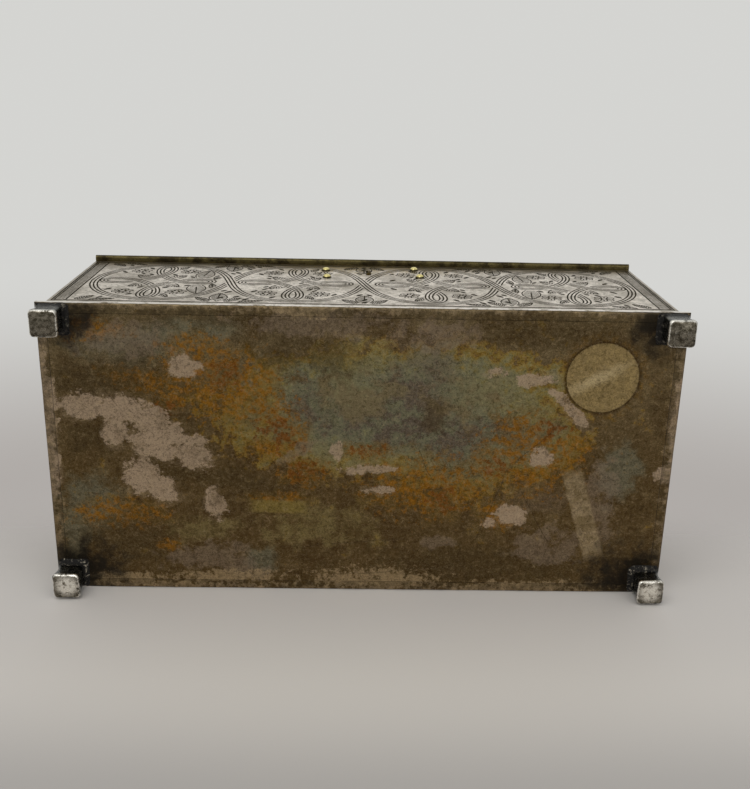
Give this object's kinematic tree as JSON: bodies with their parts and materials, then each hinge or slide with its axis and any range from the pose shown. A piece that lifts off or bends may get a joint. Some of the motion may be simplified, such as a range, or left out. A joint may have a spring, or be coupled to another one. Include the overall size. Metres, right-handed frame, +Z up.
{
  "type": "silverware chest",
  "caption": "Silver-plated flatware chest on four block feet, with a hinged lid, a lifting lip, a sliding box-lock bolt and a wood-lined well with notched racks.",
  "frame": {"origin": "middle of the outline at floor level, under the feet", "axes": "+X along the length to the right, -Y the engraved front with the keyhole, +Z up"},
  "size_m": [0.28, 0.137, 0.121],
  "materials": {
    "silver_plate": "worn silver plate with engraved strapwork and brown tarnish",
    "tarnished_plate": "dark, heat-stained silver plate with scratches",
    "foot_silver": "polished silver plate, dark in the hollows and worn pale on the ground faces",
    "lock_brass": "dull brass",
    "spring_steel": "blued strip",
    "cedar": "oiled cedar boards",
    "baize": "napped green baize"
  },
  "bodies": {
    "chest": {"bottom_plate": "tarnished_plate", "base_rim_front": "silver_plate", "base_rim_back": "silver_plate", "base_rim_left": "silver_plate", "base_rim_right": "silver_plate", "foot_front_left": "foot_silver", "foot_front_right": "foot_silver", "foot_back_left": "foot_silver", "foot_back_right": "foot_silver", "front_panel": "silver_plate", "back_panel": "silver_plate", "left_panel": "silver_plate", "right_panel": "silver_plate", "hinge_body_leaf": "lock_brass", "hinge_pin": "lock_brass", "hinge_body_rivets": "lock_brass", "lock_rivets": "lock_brass", "lock_case": "lock_brass", "lock_cap": "lock_brass", "cap_screws": "lock_brass", "key_post": "lock_brass", "bolt_spring": "spring_steel", "floor_board": "cedar", "front_board": "cedar", "back_board": "cedar", "left_board": "cedar", "right_board": "cedar", "floor_baize": "baize", "rack_left": "cedar", "rack_right": "cedar"},
    "lid": {"lid_top": "silver_plate", "lid_skirt_front": "silver_plate", "lid_skirt_back": "silver_plate", "lid_skirt_left": "silver_plate", "lid_skirt_right": "silver_plate", "lifting_lip": "silver_plate", "hinge_lid_leaf": "lock_brass", "hinge_lid_rivets": "lock_brass", "strike_plate": "lock_brass", "strike_screws": "lock_brass", "lid_board": "cedar", "lid_front_rail": "cedar", "lid_baize": "baize"},
    "bolt": {"lock_bolt": "lock_brass"}
  },
  "joints": [
    {"name": "lid_hinge", "type": "hinge", "parent": "chest", "child": "lid", "pos_m": [0, 0.0655, 0.10885], "axis": [-1, 0, 0], "range_deg": [0, 95]},
    {"name": "bolt_slide", "type": "slide", "parent": "chest", "child": "bolt", "axis": [1, 0, 0], "range_m": [0, 0.005]}
  ]
}
